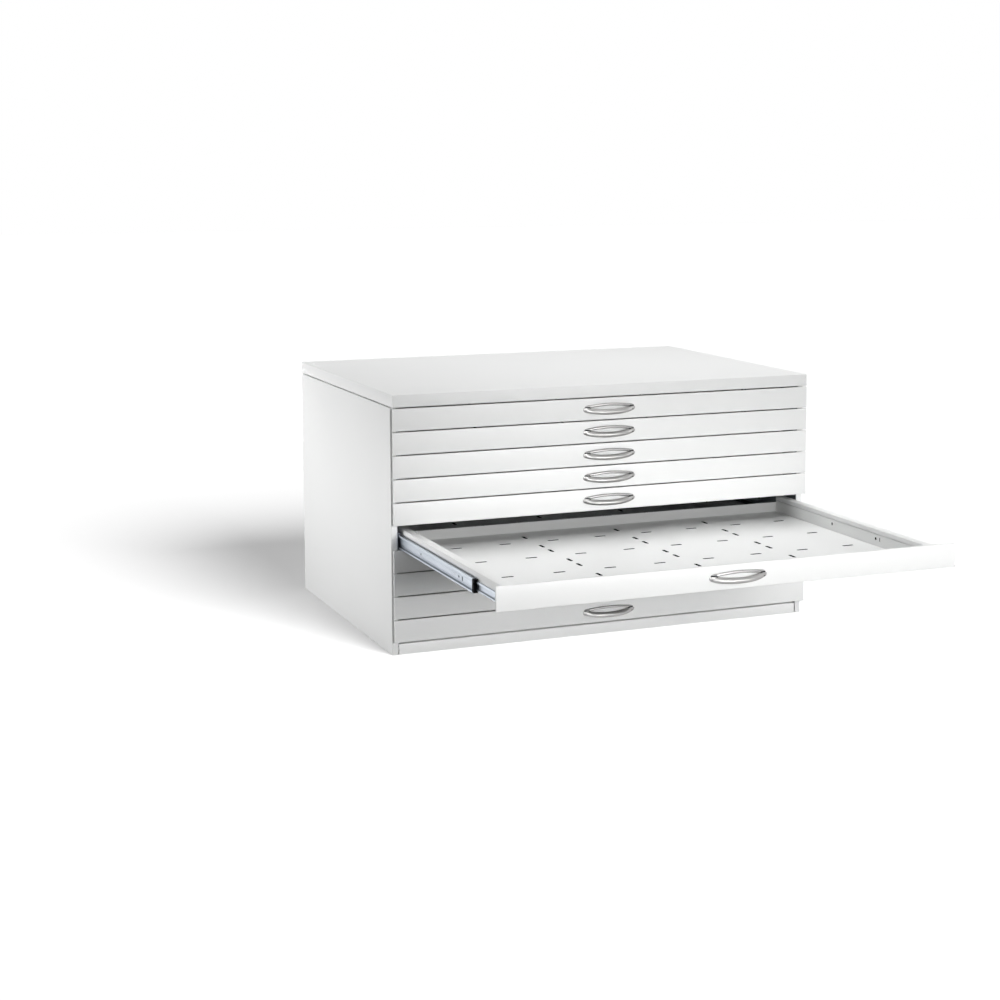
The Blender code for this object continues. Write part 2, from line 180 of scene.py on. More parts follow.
def new_box(name, low, high):
    """A box between two corners, alone in the selection, to be shaped in edit mode."""
    bpy.ops.object.select_all(action="DESELECT")
    middle = [(a + b) / 2 for a, b in zip(low, high)]
    size = [b - a for a, b in zip(low, high)]
    bpy.ops.mesh.primitive_cube_add(size=1, location=middle, scale=size)
    bpy.ops.object.transform_apply(location=True, rotation=True, scale=True)
    made = bpy.context.object
    made.name = name
    made.data.name = name
    return made


def edit_faces(test):
    """Goes to edit mode and selects the faces whose middle and normal pass the test."""
    bpy.ops.object.mode_set(mode="EDIT")
    bpy.ops.mesh.select_mode(type="FACE")
    bpy.ops.mesh.select_all(action="DESELECT")
    mesh = bmesh.from_edit_mesh(bpy.context.edit_object.data)
    for face in mesh.faces:
        face.select_set(test(face.calc_center_median(), face.normal))
    bmesh.update_edit_mesh(bpy.context.edit_object.data)


def edit_edges(test):
    """Goes to edit mode and selects the edges whose middle, direction and count of faces pass the test."""
    bpy.ops.object.mode_set(mode="EDIT")
    bpy.ops.mesh.select_mode(type="EDGE")
    bpy.ops.mesh.select_all(action="DESELECT")
    mesh = bmesh.from_edit_mesh(bpy.context.edit_object.data)
    for edge in mesh.edges:
        first, second = (vert.co for vert in edge.verts)
        if test((first + second) / 2, (second - first).normalized(), len(edge.link_faces)):
            edge.select_set(True)
    bmesh.update_edit_mesh(bpy.context.edit_object.data)


def fold_radius(width, segments=3):
    """Rounds the selected edges and leaves edit mode."""
    bpy.ops.mesh.bevel(offset=width, segments=segments, affect="EDGES", clamp_overlap=True)
    bpy.ops.object.mode_set(mode="OBJECT")


def modify(obj, kind, **settings):
    """Puts a modifier on the object and applies it."""
    bpy.ops.object.select_all(action="DESELECT")
    bpy.context.view_layer.objects.active = obj
    obj.select_set(True)
    modifier = obj.modifiers.new(kind.lower(), kind)
    for name, value in settings.items():
        setattr(modifier, name, value)
    bpy.ops.object.modifier_apply(modifier=modifier.name)


def mount(piece, body, nodes, slot, *materials):
    """Smooths the folds, coats the piece and hangs it on its body in place of the model's nodes."""
    bpy.ops.object.select_all(action="DESELECT")
    bpy.context.view_layer.objects.active = piece
    piece.select_set(True)
    bpy.ops.object.shade_smooth_by_angle(angle=SHARP)
    if materials:
        piece.data.materials.clear()
        for material in materials:
            piece.data.materials.append(material)
    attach(piece, body)
    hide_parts(*nodes)


white_coat = powder_coat("white powder coat", COAT_COLOUR, COAT_SHADE)

lid_low, lid_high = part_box("top_panel")
lid = new_box("lid", lid_low, lid_high)
edit_faces(lambda middle, normal: normal.z < -ALONG)
bpy.ops.mesh.inset(thickness=LID_RIM, depth=0)
bpy.ops.mesh.delete(type="FACE")
edit_edges(lambda middle, run, faces: faces == 2 and max(abs(run.x), abs(run.y), abs(run.z)) > ALONG)
fold_radius(LID_FOLD)
modify(lid, "SOLIDIFY", thickness=SHEET, offset=-1)
mount(lid, "cabinet", ["top_panel"], "white_coating", white_coat)

# Sides
# Each side is a shallow pan of the same sheet, open towards the inside and folded along all its edges. A
# narrow neck along its top carries the lid and leaves the dark line between them.

SIDES = ((-1, "left"), (1, "right"))
SIDE_FOLD = 0.0016
LID_GAP = 0.0032
NECK_INSET = 0.010
NECK_DEPTH = 0.006
NECK_FOLD = 0.0008


def folded_pan(name, low, high, is_open, fold=SIDE_FOLD):
    """A box of sheet that is open where a face's normal passes the test, with rounded folds."""
    pan = new_box(name, low, high)
    edit_faces(lambda middle, normal: is_open(normal))
    bpy.ops.mesh.delete(type="FACE")
    edit_edges(lambda middle, run, faces: faces == 2)
    fold_radius(fold)
    modify(pan, "SOLIDIFY", thickness=SHEET, offset=-1)
    return pan


def join(first, *others):
    """Makes one piece of several, under the first one's name."""
    bpy.ops.object.select_all(action="DESELECT")
    for obj in (first, *others):
        obj.select_set(True)
    bpy.context.view_layer.objects.active = first
    bpy.ops.object.join()
    return first


for side, name in SIDES:
    low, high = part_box(f"{name}_side_panel")
    top = lid_low.z - LID_GAP
    pan = folded_pan(
        f"{name}_side", low, (high.x, high.y, top), lambda normal: normal.x * side < -ALONG
    )
    outer = high.x if side > 0 else low.x
    near, far = sorted(outer - side * depth for depth in (NECK_INSET, NECK_INSET + NECK_DEPTH))
    neck_low = (near, low.y + NECK_INSET, top - SHEET)
    neck = new_box("neck", neck_low, (far, high.y - NECK_INSET, high.z))
    edit_edges(lambda middle, run, faces: middle.z > top)
    fold_radius(NECK_FOLD, segments=2)
    join(pan, neck)
    mount(pan, "cabinet", [f"{name}_side_panel"], "white_coating", white_coat)

# Back
# A flat pan of the same sheet, let in between the sides a millimetre deep and held by blind rivets through
# its rim. It closes the cabinet behind the drawers.

RIVET_RADIUS = 0.0038
RIVET_HEIGHT = 0.0009
RIVET_CROWN = 0.00081
RIVET_FACETS = 16
RIVET_INSET = 0.014
RIVETS_ACROSS = 9
RIVETS_UP = 5


def spaced(first, last, count):
    """As many places as asked, evenly from the first to the last."""
    return [first + index * (last - first) / (count - 1) for index in range(count)]


def round_bar(place, radius, length, turn, facets):
    """A cylinder about a place, turned from upright."""
    bpy.ops.object.select_all(action="DESELECT")
    bpy.ops.mesh.primitive_cylinder_add(
        vertices=facets, radius=radius, depth=length, location=place, rotation=turn
    )
    bpy.ops.object.transform_apply(location=True, rotation=True, scale=True)
    return bpy.context.object


low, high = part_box("back_panel")
back = folded_pan("back", low, high, lambda normal: normal.y < -ALONG)
across = spaced(low.x + RIVET_INSET, high.x - RIVET_INSET, RIVETS_ACROSS)
up = spaced(low.z + RIVET_INSET, high.z - RIVET_INSET, RIVETS_UP)
spots = [(x, z) for x in across for z in (up[0], up[-1])]
spots += [(x, z) for x in (across[0], across[-1]) for z in up[1:-1]]
rivets = []
for x, z in spots:
    rivets.append(round_bar(
        (x, high.y, z), RIVET_RADIUS, 2 * RIVET_HEIGHT, (math.pi / 2, 0, 0), RIVET_FACETS
    ))
    edit_edges(lambda middle, run, faces: middle.y > high.y + RIVET_HEIGHT / 2)
    fold_radius(RIVET_CROWN)
join(back, *rivets)
mount(back, "cabinet", ["back_panel"], "white_coating", white_coat)

# Base and its stiffener
# The bottom sheet has its edges folded down. A hat channel of galvanised sheet is spot-welded under it,
# from front to back, and takes the load in the middle of the wide floor.

BASE_FOLD = 0.002
CHANNEL_WIDTH = 0.080
CHANNEL_FLANGE = 0.018
ZINC_COLOUR = (0.34, 0.355, 0.375)
ZINC_SPANGLE = (0.25, 0.262, 0.28)
ZINC_ROUGHNESS = 0.5
ZINC_METAL = 0.75
SPANGLE_SIZE = 0.012
SPANGLE_SHARE = 0.5
SPANGLE_GLOSS = 0.16
ZINC_CLOUD = 0.05


def galvanised(name):
    """Hot-dipped zinc: crystals of slightly different greys, and a dull gloss."""
    material, shader, place = finish(name, ZINC_COLOUR, ZINC_ROUGHNESS, ZINC_METAL)
    crystals = place.node("TexVoronoi", None, {"Vector": place, "Scale": 1 / SPANGLE_SIZE}, "Color")
    spangle = place.node("SeparateXYZ", None, {"Vector": crystals})
    cloud = place.noise(ZINC_CLOUD, detail=3.0)
    shade = spangle.blended(cloud, SPANGLE_SHARE)
    place.plug(shader, "Base Color", shade.between(ZINC_SPANGLE, ZINC_COLOUR))
    place.plug(shader, "Roughness", spangle.around(ZINC_ROUGHNESS, SPANGLE_GLOSS))
    return material


def drawn_strip(name, section, start, end, radius, thickness):
    """A strip of sheet that runs along Y, drawn through the (x, z) points of the middle of its section."""
    bpy.ops.object.select_all(action="DESELECT")
    bpy.ops.mesh.primitive_plane_add(size=1)
    strip = bpy.context.object
    strip.name = name
    strip.data.name = name
    for vert in strip.data.vertices:
        x, z = section[0] if vert.co.x < 0 else section[1]
        vert.co = (x, start if vert.co.y < 0 else end, z)
    edge = section[1]
    edit_edges(lambda middle, run, faces: math.dist((middle.x, middle.z), edge) < TINY)
    for (x, z), (next_x, next_z) in zip(section[1:], section[2:]):
        move = {"value": (next_x - x, 0, next_z - z)}
        bpy.ops.mesh.extrude_region_move(TRANSFORM_OT_translate=move)
    bpy.ops.mesh.select_all(action="SELECT")
    bpy.ops.mesh.normals_make_consistent(inside=False)
    edit_edges(lambda middle, run, faces: faces == 2)
    fold_radius(radius)
    modify(strip, "SOLIDIFY", thickness=thickness, offset=0)
    return strip


galvanised_sheet = galvanised("galvanised sheet")

low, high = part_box("base_panel")
base = folded_pan("base", low, high, lambda normal: normal.z < -ALONG, BASE_FOLD)
mount(base, "cabinet", ["base_panel"], "white_coating", white_coat)

low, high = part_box("base_channel")
half, rim = CHANNEL_WIDTH / 2 - SHEET / 2, CHANNEL_WIDTH / 2 + CHANNEL_FLANGE
bottom, top = SHEET / 2, high.z - SHEET / 2
hat = [(-rim, top), (-half, top), (-half, bottom), (half, bottom), (half, top), (rim, top)]
channel = drawn_strip("stiffener", hat, low.y, high.y, BASE_FOLD, SHEET)
mount(channel, "cabinet", ["base_channel"], "grey_coating", galvanised_sheet)

# Plinth
# A folded board between the sides, set back under the lowest front, with its foot turned in on the floor.
# A gap above it and at each end shows as a dark line.

PLINTH_GAP = 0.0075
PLINTH_END = 0.0025

low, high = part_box("plinth")
plinth = folded_pan(
    "plinth_board", (low.x + PLINTH_END, low.y, low.z), (high.x - PLINTH_END, high.y, high.z - PLINTH_GAP),
    lambda normal: normal.y > ALONG or abs(normal.x) > ALONG,
)
mount(plinth, "cabinet", ["plinth"], "white_coating", white_coat)

# Fixed members of the slides
# Inside each side a galvanised sheet carries ten fixed slide members: channels rolled from bright
# zinc-plated strip, open towards the tray, whose lips hold the outer rows of balls.

DRAWERS = 10
BASE_TO_FRONT = 0.0016
STRIP = 0.0012
STRIP_FOLD = 0.0014
OUTER_MOUTH = 0.0105
OUTER_WEB = 0.0018
OUTER_SPAN = (-0.0042, 0.0422)
OUTER_HOOK = 0.0006
OUTER_CURL = 0.0018
PLATE_SHEET = 0.0015
PLATE_EDGE = 0.0004
SLIP = 0.0002
SLIDE_FRONT = -0.452
SLIDE_REAR = 0.444
PLATED_COLOUR = (0.52, 0.565, 0.62)
PLATED_SHADE = (0.38, 0.415, 0.465)
PLATED_ROUGHNESS = 0.31
DRAW_LINE = 0.0009
DRAW_STRETCH = 260
DRAW_SHARE = 0.45
DRAW_GLOSS = 0.16
DRAW_DEPTH = 0.00004
DRAW_STRENGTH = 0.3
STAIN_SIZE = 0.02
STAIN_STRETCH = 3
STAIN_GLOSS = 0.1


def plated(name):
    """Bright zinc plating over rolled strip, with faint draw lines along the member."""
    material, shader, place = finish(name, PLATED_COLOUR, PLATED_ROUGHNESS, 1.0)
    lines = place.noise(DRAW_LINE, stretch=(1, DRAW_STRETCH, 1))
    stain = place.noise(STAIN_SIZE, detail=3.0, stretch=(1, STAIN_STRETCH, 1))
    roughness = lines.around(PLATED_ROUGHNESS, DRAW_GLOSS) + stain.around(0, STAIN_GLOSS)
    place.plug(shader, "Base Color", lines.blended(stain, DRAW_SHARE).between(PLATED_SHADE, PLATED_COLOUR))
    place.plug(shader, "Roughness", roughness)
    place.plug(shader, "Normal", lines.raised(DRAW_STRENGTH, DRAW_DEPTH))
    return material


def copied(pattern, name, shift):
    """A copy with a mesh of its own, moved as far as asked."""
    made = bpy.data.objects.new(name, pattern.data.copy())
    made.data.name = name
    bpy.context.scene.collection.objects.link(made)
    bpy.ops.object.select_all(action="DESELECT")
    bpy.context.view_layer.objects.active = made
    made.select_set(True)
    bpy.ops.transform.translate(value=shift)
    bpy.ops.object.transform_apply(location=True, rotation=True, scale=True)
    return made


def mirrored(section, side):
    """The section for the right, or the same for the left."""
    return [(side * x, z) for x, z in section]


plated_strip = plated("zinc-plated strip")
bases = [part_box(f"front_{number:02d}")[0].z - BASE_TO_FRONT for number in range(1, DRAWERS + 1)]

for side, name in SIDES:
    node = f"{name}_runner_plate"
    low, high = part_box(node)
    skin = max(abs(low.x), abs(high.x))
    near, far = sorted((side * skin, side * (skin - PLATE_SHEET)))
    plate = new_box(f"{name}_inner_sheet", (near, low.y, low.z), (far, high.y, high.z))
    edit_edges(lambda middle, run, faces: True)
    fold_radius(PLATE_EDGE, segments=1)
    mount(plate, "cabinet", [node], "zinc_steel", galvanised_sheet)
    mouth = skin - PLATE_SHEET - OUTER_MOUTH + SLIP
    web = skin - PLATE_SHEET - OUTER_WEB / 2
    bottom, top = bases[0] + OUTER_SPAN[0] + STRIP / 2, bases[0] + OUTER_SPAN[1] - STRIP / 2
    section = [
        (mouth + OUTER_HOOK, bottom + OUTER_CURL), (mouth, bottom), (web, bottom),
        (web, top), (mouth, top), (mouth + OUTER_HOOK, top - OUTER_CURL),
    ]
    first = drawn_strip("fixed_member", mirrored(section, side), SLIDE_FRONT, SLIDE_REAR, STRIP_FOLD, STRIP)
    members = [copied(first, "fixed_member", (0, 0, base - bases[0])) for base in bases[1:]]
    join(first, *members)
    first.name = f"{name}_fixed_members"
    mount(first, "cabinet", [node], "zinc_steel", plated_strip)

# Middle members of the slides
# Each pair runs out between the fixed members and those on the tray. They are rolled from plated strip
# with a raised web between two ball grooves, and a black moulded buffer closes each front end.

MIDDLE_SHEET = 0.0010
MIDDLE_FOLD = 0.0005
MIDDLE_WEB = 0.0048
MIDDLE_LIP = 0.0046
MIDDLE_CURL = 0.0020
MIDDLE_INSIDE = 0.0030
RIDGE_RISE = 0.0009
RIDGE_TOP = 0.0070
RIDGE_FOOT = 0.0085
DRILL_LENGTH = 0.012
DRILL_FACETS = 20
# Black plugs in the drilled holes: painted shade for the dark seen through them.
SHADE_PLUG = 0.0005
SHADE_PLUG_SPARE = 1.06
HOLE_RADIUS = 0.0038
MIDDLE_HOLES = (  # each: behind the front end, above the middle, radius, how much longer upright
    (0.112, 0.001, HOLE_RADIUS, 0),
    (0.086, 0, 0.0034, 0.007),
    (0.420, 0, HOLE_RADIUS, 0),
)
REAR_HOLE = 0.040
BUFFER_FRONT = 0.0066
BUFFER_DEPTH = 0.0140
BUFFER_TUCK = 0.0024
BUFFER_INSET = 0.0020
BUFFER_EDGE = 0.0005
CAVITY_SPAN = (0.0052, 0.0328)
CAVITY_DEPTH = 0.0058
BUFFER_BITES = ((0.0010, 0.0075, 0.0030), (0.0080, -0.0120, 0.0028))  # each: depth, height, radius
BITE_LENGTH = 0.03
BLACK_COLOUR = (0.009, 0.009, 0.010)
BLACK_ROUGHNESS = 0.52
BLACK_GLOSS = 0.02
MOULD_GRAIN = 0.0006
MOULD_HAZE = 0.2
MOULD_DEPTH = 0.00003
MOULD_STRENGTH = 0.3


def punch(obj, *cutters, solver="EXACT"):
    """Cuts the cutters out of the object and removes them."""
    tool = join(*cutters)
    modify(obj, "BOOLEAN", operation="DIFFERENCE", solver=solver, object=tool)
    bpy.data.objects.remove(tool)


def drill(x, y, z, radius, length, upright=0):
    """A round cutter along X, or one for a slot that is longer upright."""
    made = round_bar((x, y, z), radius, length, (0, math.pi / 2, 0), DRILL_FACETS)
    if upright:
        for vert in made.data.vertices:
            vert.co.z += math.copysign(upright / 2, vert.co.z - z)
    return made


def bored(obj, x, shade_plug_x, y, z, holes):
    """Drills holes, given from y and z, through a web at x; black plugs in them are painted shade."""
    def bars(at, length, spare):
        return [
            drill(at, y + depth, z + height, radius * spare, length, upright)
            for depth, height, radius, upright in holes
        ]

    punch(obj, *bars(x, DRILL_LENGTH, 1))
    # The plugs are black as painted shade, so that each hole reads dark.
    plug = join(*bars(shade_plug_x, SHADE_PLUG, SHADE_PLUG_SPARE))
    plug.data.materials.append(black_plastic_and_shade)
    return plug


def black_plastic(name):
    """Moulded polyamide, black, with a faint grain."""
    material, shader, place = finish(name, BLACK_COLOUR, BLACK_ROUGHNESS)
    shader.inputs["Specular IOR Level"].default_value = BLACK_GLOSS
    grain = place.noise(MOULD_GRAIN)
    place.plug(shader, "Roughness", grain.around(BLACK_ROUGHNESS, MOULD_HAZE))
    place.plug(shader, "Normal", grain.raised(MOULD_STRENGTH, MOULD_DEPTH))
    return material


def fit_drawers(first, name, body, node, slot, *materials):
    """Mounts the lowest-numbered drawer's piece, and a copy of it on each of the others."""
    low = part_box(f"{node}_01")[0]
    for number in range(1, DRAWERS + 1):
        shift = [b - a for a, b in zip(low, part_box(f"{node}_{number:02d}")[0])]
        made = first if number == 1 else copied(first, f"{name}_{number:02d}", shift)
        made.name = f"{name}_{number:02d}"
        mount(made, f"{body}_{number:02d}", [f"{node}_{number:02d}"], slot, *materials)


# Real on the buffers; on the slot wells, hole plugs and grip feet it is painted shade.
black_plastic_and_shade = black_plastic("black polyamide and painted shade")

for side, name in SIDES:
    low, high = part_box(f"{name}_slide_01")
    inner = min(abs(low.x), abs(high.x)) + MIDDLE_SHEET / 2
    outer = max(abs(low.x), abs(high.x)) - MIDDLE_SHEET / 2
    web = outer - MIDDLE_WEB
    ridge = web + RIDGE_RISE
    bottom, top = low.z + MIDDLE_SHEET / 2, high.z - MIDDLE_SHEET / 2
    centre = (low.z + high.z) / 2
    outward = [
        (outer, top - MIDDLE_LIP), (outer, top), (web, top), (web, centre + RIDGE_FOOT),
        (ridge, centre + RIDGE_TOP), (ridge, centre - RIDGE_TOP), (web, centre - RIDGE_FOOT),
        (web, bottom), (outer, bottom), (outer, bottom + MIDDLE_LIP),
    ]
    inner_web = web - MIDDLE_SHEET
    under, over = bottom + MIDDLE_INSIDE, top - MIDDLE_INSIDE
    inward = [
        (inner, over - MIDDLE_CURL), (inner, over), (inner_web, over),
        (inner_web, under), (inner, under), (inner, under + MIDDLE_CURL),
    ]
    front = low.y - BUFFER_FRONT
    start = front + BUFFER_DEPTH - BUFFER_TUCK
    member = join(*[
        drawn_strip("middle", mirrored(section, side), start, high.y, MIDDLE_FOLD, MIDDLE_SHEET)
        for section in (outward, inward)
    ])
    holes = (*MIDDLE_HOLES, (high.y - start - REAR_HOLE, 0, HOLE_RADIUS, 0))
    plug = bored(member, side * web, side * (web - MIDDLE_SHEET / 2), start, centre, holes)
    member.data.materials.append(plated_strip)
    block_high = (high.x, front + BUFFER_DEPTH, high.z - BUFFER_INSET)
    block = new_box("buffer", (low.x, front, low.z + BUFFER_INSET), block_high)
    near, far = sorted(side * (inner - MIDDLE_SHEET + depth) for depth in (0, CAVITY_DEPTH))
    bottom, top = (bases[0] + height for height in CAVITY_SPAN)
    cavity = new_box(
        "cavity", (near, low.y - 2 * BUFFER_DEPTH, bottom), (far, low.y + 2 * BUFFER_DEPTH, top)
    )
    punch(block, cavity)
    punch(block, *[
        drill(side * web, front + depth, centre + height, radius, BITE_LENGTH)
        for depth, height, radius in BUFFER_BITES
    ])
    edit_edges(lambda middle, run, faces: abs(run.x) < ALONG)
    fold_radius(BUFFER_EDGE, segments=2)
    block.data.materials.append(black_plastic_and_shade)
    fit_drawers(join(member, block, plug), f"{name}_middle", "slides", f"{name}_slide", "zinc_steel")

# Trays
# Each tray is a sheet that is folded up at its sides into hollow rails, with a low wall at the back and a
# welded liner inside. Its floor is slotted for dividers, and the black well under each slot is painted
# shade, so that the slots read dark. The innermost slide members are screwed to its sides.

TRAY_SHEET = 0.0010
TRAY_FOLD = 0.0014
TRAY_HALF = 0.640
RAIL_WIDTH = 0.025
RAIL_HEIGHT = 0.054
RAIL_LIP = 0.013
BACK_WALL = 0.035
FLOOR_HEIGHT = 0.005
SLOT_LENGTH = 0.036
SLOT_WIDTH = 0.0100
SLOT_CUT = 0.004
SLOT_STEP = 0.1505
SLOT_SHIFT = 0.018
SLOTS_ACROSS = 8
SLOT_ROWS = 4
ROW_STEP = 0.2005
ROW_SHIFT = -0.0095
PAIR_STEP = 0.2970
PAIR_SHIFT = 0.026
PAIR_OFFSET = 0.0665
PAIRS_ACROSS = 3
ROUND_END = 0.48
# The wells are black pockets under the slots: painted shade, so that the slots read dark.
SHADE_WELL_DEPTH = 0.0036
SHADE_WELL_RISE = 0.00035
SHADE_WELL_WALL = 0.0003
LINER_HEIGHT = 0.039
LINER_BEAD = 0.0022
LINER_FOLD = 0.0008
LINER_HOLES = (  # each: behind the face of the front, above the drawer's base, radius, longer upright
    (0.549, 0.026, 0.0046, 0),
    (0.309, 0.026, 0.0046, 0),
    (0.288, 0.0265, 0.0020, 0.008),
)
INNER_SPAN = (0.006, 0.032)
INNER_DEPTH = 0.0045
INNER_LENGTH = 0.851
INNER_LIP = 0.0044
INNER_FOLD = 0.00084
INNER_HOLES = (  # as for the middle members
    (0.026, 0, 0.0034, 0.006),
    (0.013, 0.004, 0.0032, 0),
    (0.009, -0.005, 0.0034, 0),
    (0.420, 0, HOLE_RADIUS, 0),
)


def slot_blocks(x, y, bottom, top, size, *arrays):
    """A block with round ends, repeated over the tray's floor by (count, step in x, step in y)."""
    across, along = size
    block = new_box("slot", (x - across / 2, y - along / 2, bottom), (x + across / 2, y + along / 2, top))
    edit_edges(lambda middle, run, faces: abs(run.z) > ALONG)
    fold_radius(min(size) * ROUND_END)
    for count, step_x, step_y in arrays:
        modify(
            block, "ARRAY", count=count, use_relative_offset=False, use_constant_offset=True,
            constant_offset_displace=(step_x, step_y, 0),
        )
    return block


def slot_field(row, bottom, top, spare):
    """The blocks of all slots, those across and the double columns, each smaller by the spare."""
    length, width = SLOT_LENGTH - spare, SLOT_WIDTH - spare
    rows = (SLOT_ROWS, 0, ROW_STEP)
    singles = slot_blocks(
        SLOT_SHIFT - (SLOTS_ACROSS - 1) / 2 * SLOT_STEP, row, bottom, top, (length, width),
        (SLOTS_ACROSS, SLOT_STEP, 0), rows,
    )
    doubles = slot_blocks(
        PAIR_SHIFT - PAIR_STEP, row - PAIR_OFFSET, bottom, top, (width, length),
        (PAIRS_ACROSS, PAIR_STEP, 0), (2, 0, 2 * PAIR_OFFSET), rows,
    )
    return singles, doubles


low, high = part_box("tray_01")
start, end = low.y + TRAY_SHEET / 2, high.y - TRAY_SHEET / 2
floor = bases[0] + FLOOR_HEIGHT - TRAY_SHEET / 2
skin = TRAY_HALF - TRAY_SHEET / 2
liner = TRAY_HALF - RAIL_WIDTH + TRAY_SHEET / 2
rail = bases[0] + RAIL_HEIGHT - TRAY_SHEET / 2

bpy.ops.object.select_all(action="DESELECT")
bpy.ops.mesh.primitive_plane_add(size=1)
tray = bpy.context.object
for vert in tray.data.vertices:
    vert.co = (math.copysign(skin, vert.co.x), start if vert.co.y < 0 else end, floor)
for side in (-1, 1):
    edit_edges(lambda middle, run, faces: middle.x * side > skin - TINY and middle.z < floor + TINY)
    for move in ((0, 0, rail - floor), (-side * (skin - liner), 0, 0), (0, 0, -RAIL_LIP + TRAY_SHEET / 2)):
        bpy.ops.mesh.extrude_region_move(TRANSFORM_OT_translate={"value": move})
for wall, height in ((start, rail - floor), (end, BACK_WALL - FLOOR_HEIGHT)):
    edit_edges(
        lambda middle, run, faces: faces == 1 and abs(middle.y - wall) < TINY and middle.z < floor + TINY
    )
    bpy.ops.mesh.extrude_region_move(TRANSFORM_OT_translate={"value": (0, 0, height)})
bpy.ops.mesh.select_all(action="SELECT")
bpy.ops.mesh.normals_make_consistent(inside=False)
edit_edges(lambda middle, run, faces: faces == 2)
fold_radius(TRAY_FOLD)
modify(tray, "SOLIDIFY", thickness=TRAY_SHEET, offset=0)

first_row = (start + end) / 2 + ROW_SHIFT - (SLOT_ROWS - 1) / 2 * ROW_STEP
punch(tray, *slot_field(first_row, floor - SLOT_CUT, floor + SLOT_CUT, 0))
# A black pocket under each slot, as painted shade for the dark seen through it.
painted_shade_well = join(*slot_field(first_row, floor - SHADE_WELL_DEPTH, floor + SHADE_WELL_RISE, SHADE_WELL_WALL))
edit_faces(lambda middle, normal: normal.z > ALONG)
bpy.ops.mesh.delete(type="FACE")
bpy.ops.object.mode_set(mode="OBJECT")
modify(painted_shade_well, "SOLIDIFY", thickness=SHADE_WELL_WALL, offset=-1)
painted_shade_well.data.materials.append(black_plastic_and_shade)

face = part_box("front_01")[0].y
rim = bases[0] + LINER_HEIGHT
section = [(liner, floor + TRAY_SHEET), (liner, rim), (liner + LINER_BEAD, rim)]
upstands = []
fittings = [painted_shade_well]
for side in (-1, 1):
    upstand = drawn_strip(
        "liner", mirrored(section, side), low.y + 2 * TRAY_SHEET, high.y - 2 * TRAY_SHEET,
        LINER_FOLD, TRAY_SHEET,
    )
    shade_plug_x = side * (liner + TRAY_SHEET / 4)
    fittings.append(bored(upstand, side * liner, shade_plug_x, face, bases[0], LINER_HOLES))
    upstands.append(upstand)
join(tray, *upstands)
tray.data.materials.append(white_coat)

reach = TRAY_HALF + INNER_DEPTH
web = TRAY_HALF + STRIP / 2 + SLIP
bottom, top = bases[0] + INNER_SPAN[0] + STRIP / 2, bases[0] + INNER_SPAN[1] - STRIP / 2
centre = (bottom + top) / 2
section = [
    (reach, top - INNER_LIP), (reach, top), (web, top),
    (web, bottom), (reach, bottom), (reach, bottom + INNER_LIP),
]
for side in (-1, 1):
    member = drawn_strip(
        "inner_member", mirrored(section, side), SLIDE_FRONT, SLIDE_FRONT + INNER_LENGTH, INNER_FOLD, STRIP
    )
    shade_plug_x = side * (TRAY_HALF + SHADE_PLUG)
    fittings.append(bored(member, side * web, shade_plug_x, SLIDE_FRONT, centre, INNER_HOLES))
    member.data.materials.append(plated_strip)
    fittings.append(member)
join(tray, *fittings)
fit_drawers(tray, "tray_steel", "drawer", "tray", "white_coating")

# Fronts
# Each front is a shallow pan as wide as the whole cabinet, folded round on all four edges and returned
# behind, and screwed to its tray from inside. Its rim draws in, so a dark line shows between two fronts.

FRONT_FOLD = 0.0016
FRONT_RIM = 0.012
FRONT_TOP_RIM = 0.024
FRONT_LAND = 0.004
FRONT_TAPER = 0.0026
FRONT_STEP = 0.0075
FRONT_HEM = 0.0010

low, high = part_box("front_01")
front = new_box("drawer_front_01", low, high)
edit_faces(lambda middle, normal: True)
bpy.ops.mesh.bisect(plane_co=(0, low.y + FRONT_LAND, 0), plane_no=(0, 1, 0))
bpy.ops.object.mode_set(mode="OBJECT")
middle_z = (low.z + high.z) / 2
for vert in front.data.vertices:
    if vert.co.y > high.y - TINY:
        vert.co.x -= math.copysign(FRONT_TAPER, vert.co.x)
        vert.co.z -= math.copysign(FRONT_TAPER, vert.co.z - middle_z)
mouth = TRAY_HALF - RAIL_WIDTH
bottom, top = low.z + FRONT_RIM, high.z - FRONT_TOP_RIM
for x in (-mouth, mouth):
    edit_faces(lambda middle, normal: normal.y > ALONG)
    bpy.ops.mesh.bisect(plane_co=(x, 0, 0), plane_no=(1, 0, 0))
for z in (bottom, top):
    edit_faces(lambda middle, normal: normal.y > ALONG and abs(middle.x) < mouth)
    bpy.ops.mesh.bisect(plane_co=(0, 0, z), plane_no=(0, 0, 1))
bpy.ops.object.mode_set(mode="OBJECT")
for vert in front.data.vertices:
    if vert.co.y > high.y - TINY and abs(vert.co.x) > mouth + TINY:
        vert.co.y -= FRONT_STEP
edit_faces(lambda middle, normal: normal.y > ALONG and abs(middle.x) < mouth and bottom < middle.z < top)
bpy.ops.mesh.delete(type="FACE")
edit_edges(lambda middle, run, faces: faces == 2 and (middle.y < low.y + TINY or abs(run.y) > ALONG))
fold_radius(FRONT_FOLD)
hem_x = high.x - 2 * FRONT_TAPER
hem_z = (high.z - low.z) / 2 - 2 * FRONT_TAPER
edit_edges(
    lambda middle, run, faces: faces == 2 and middle.y > high.y - FRONT_STEP - TINY and abs(run.y) < ALONG
    and (abs(middle.x) > hem_x or abs(middle.z - middle_z) > hem_z)
)
fold_radius(FRONT_HEM, segments=2)
modify(front, "SOLIDIFY", thickness=SHEET, offset=-1)
fit_drawers(front, "drawer_front", "drawer", "front", "white_coating", white_coat)
